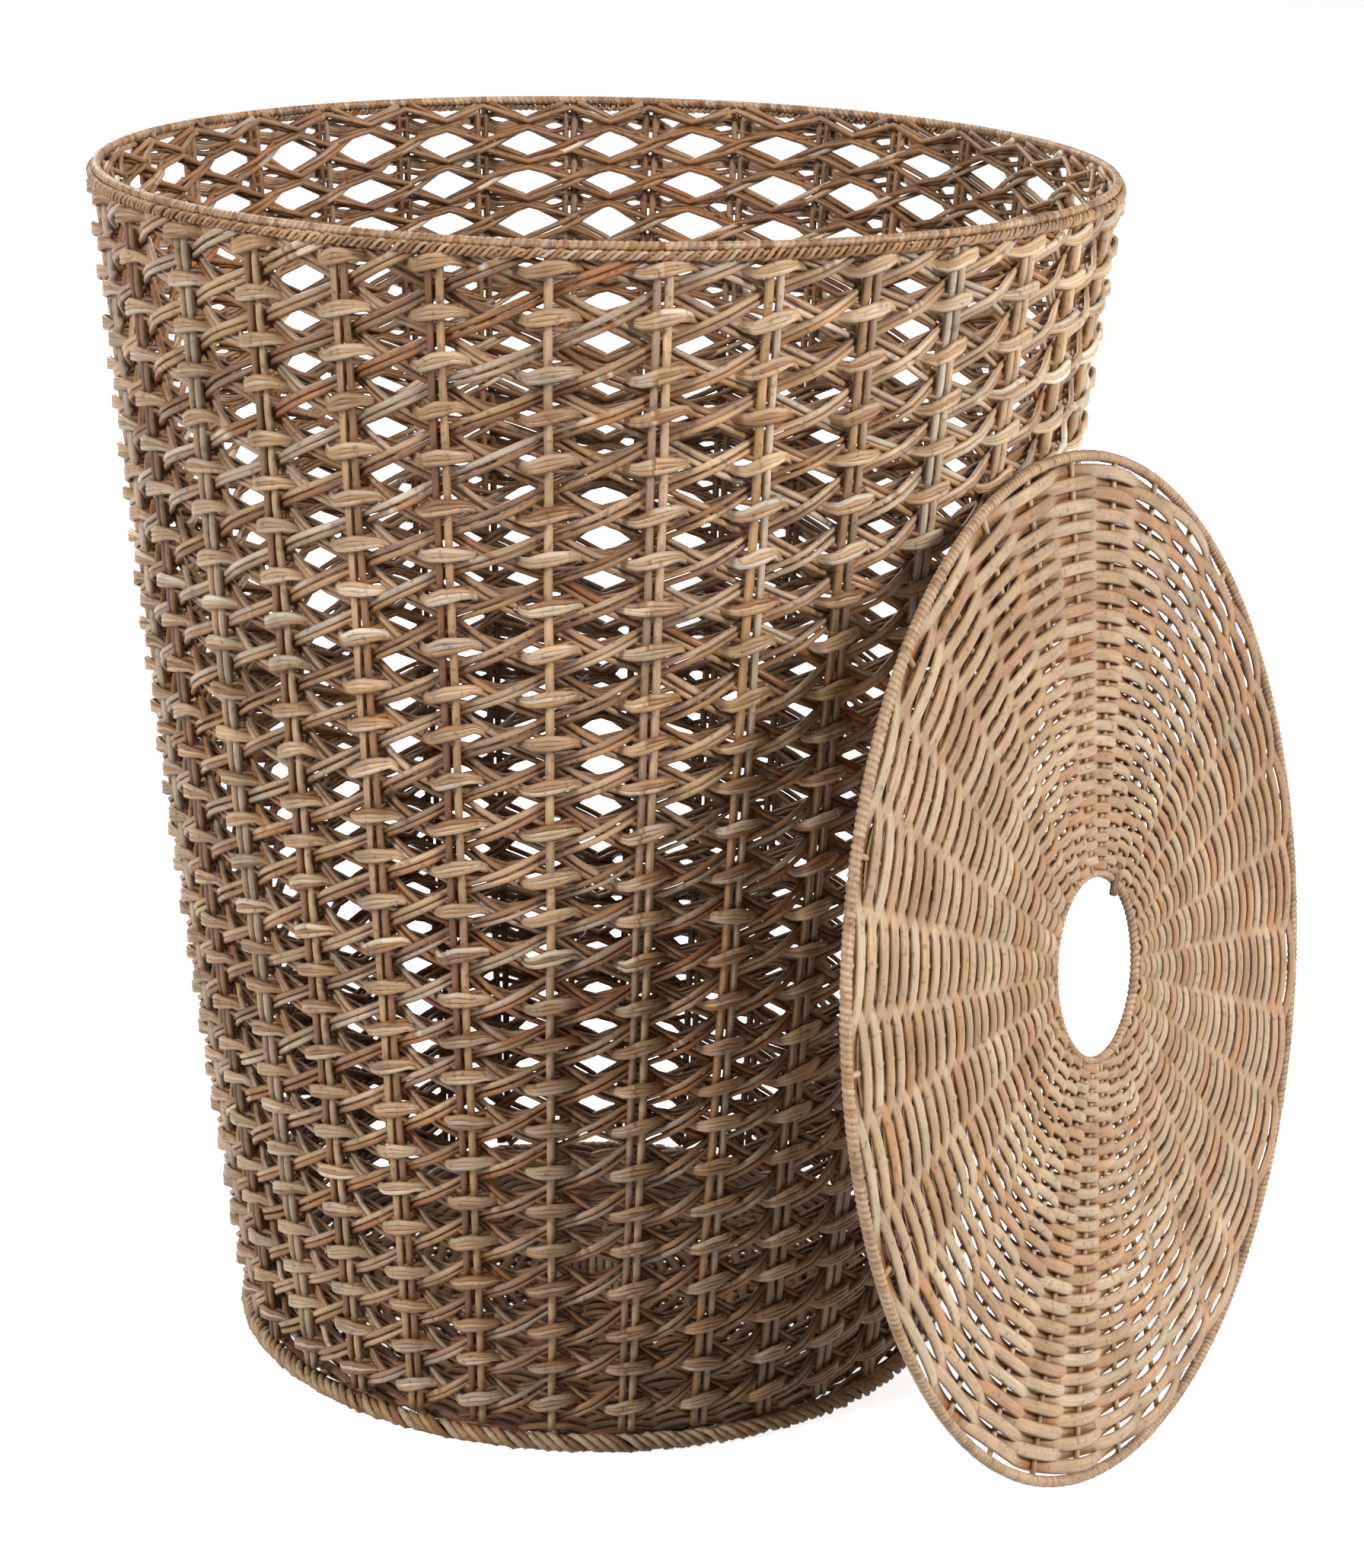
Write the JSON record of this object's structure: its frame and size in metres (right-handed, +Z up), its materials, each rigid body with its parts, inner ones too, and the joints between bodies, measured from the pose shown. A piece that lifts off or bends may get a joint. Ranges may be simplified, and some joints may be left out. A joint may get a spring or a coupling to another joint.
{
  "type": "lidded wicker wastebasket",
  "caption": "Tapered open-weave cane wastebasket with a bound rim and rolled foot, and a loose flat round woven lid with a hand hole that leans on its side.",
  "frame": {"origin": "centre of the foot border's flat underside, on the floor under the basket's axis", "axes": "+Z up along the basket's axis; the picture looks along +Y, so +X is to the right and the lid leans at +X and -Y"},
  "size_m": [0.381, 0.3719, 0.367],
  "materials": {
    "stake_cane": "satin",
    "weaver_cane": "satin",
    "lattice_cane": "satin",
    "hoop_cane": "satin",
    "binding_cane": "satin",
    "foot_cane": "satin",
    "lid_spoke_cane": "satin",
    "lid_cane": "satin"
  },
  "bodies": {
    "basket": {"foot_border": "foot_cane", "base_spokes": "stake_cane", "base_weave_under": "weaver_cane", "base_weave_top": "weaver_cane", "base_hub_lower": "stake_cane", "base_hub_upper": "stake_cane", "stakes_left": "stake_cane", "stakes_right": "stake_cane", "weave_row_01": "weaver_cane", "weave_row_02": "weaver_cane", "weave_row_03": "weaver_cane", "weave_row_04": "weaver_cane", "weave_row_05": "weaver_cane", "weave_row_06": "weaver_cane", "weave_row_07": "weaver_cane", "weave_row_08": "weaver_cane", "weave_row_09": "weaver_cane", "weave_row_10": "weaver_cane", "weave_row_11": "weaver_cane", "weave_row_12": "weaver_cane", "weave_row_13": "weaver_cane", "weave_row_14": "weaver_cane", "weave_row_15": "weaver_cane", "weave_row_16": "weaver_cane", "weave_row_17": "weaver_cane", "weave_row_18": "weaver_cane", "weave_row_19": "weaver_cane", "weave_row_20": "weaver_cane", "weave_row_21": "weaver_cane", "weave_row_22": "weaver_cane", "weave_row_23": "weaver_cane", "weave_row_24": "weaver_cane", "weave_row_25": "weaver_cane", "weave_row_26": "weaver_cane", "weave_row_27": "weaver_cane", "lattice_rising": "lattice_cane", "lattice_falling": "lattice_cane", "rim_core": "hoop_cane", "rim_binding": "binding_cane"},
    "lid": {"lid_spokes": "lid_spoke_cane", "lid_weave_1": "lid_cane", "lid_weave_2": "lid_cane", "lid_weave_3": "lid_cane", "lid_weave_4": "lid_cane", "lid_weave_5": "lid_cane", "lid_weave_6": "lid_cane", "lid_weave_7": "lid_cane", "lid_weave_8": "lid_cane", "lid_rim_core": "hoop_cane", "lid_rim_binding": "binding_cane", "lid_hole_core": "hoop_cane", "lid_hole_binding": "binding_cane"}
  },
  "joints": [
    {"name": "lid_swing", "type": "hinge", "parent": "basket", "child": "lid", "pos_m": [0.15237, -0.09521, 0.33151], "axis": [-0.5299, -0.848, 0], "range_deg": [0, 261]}
  ]
}
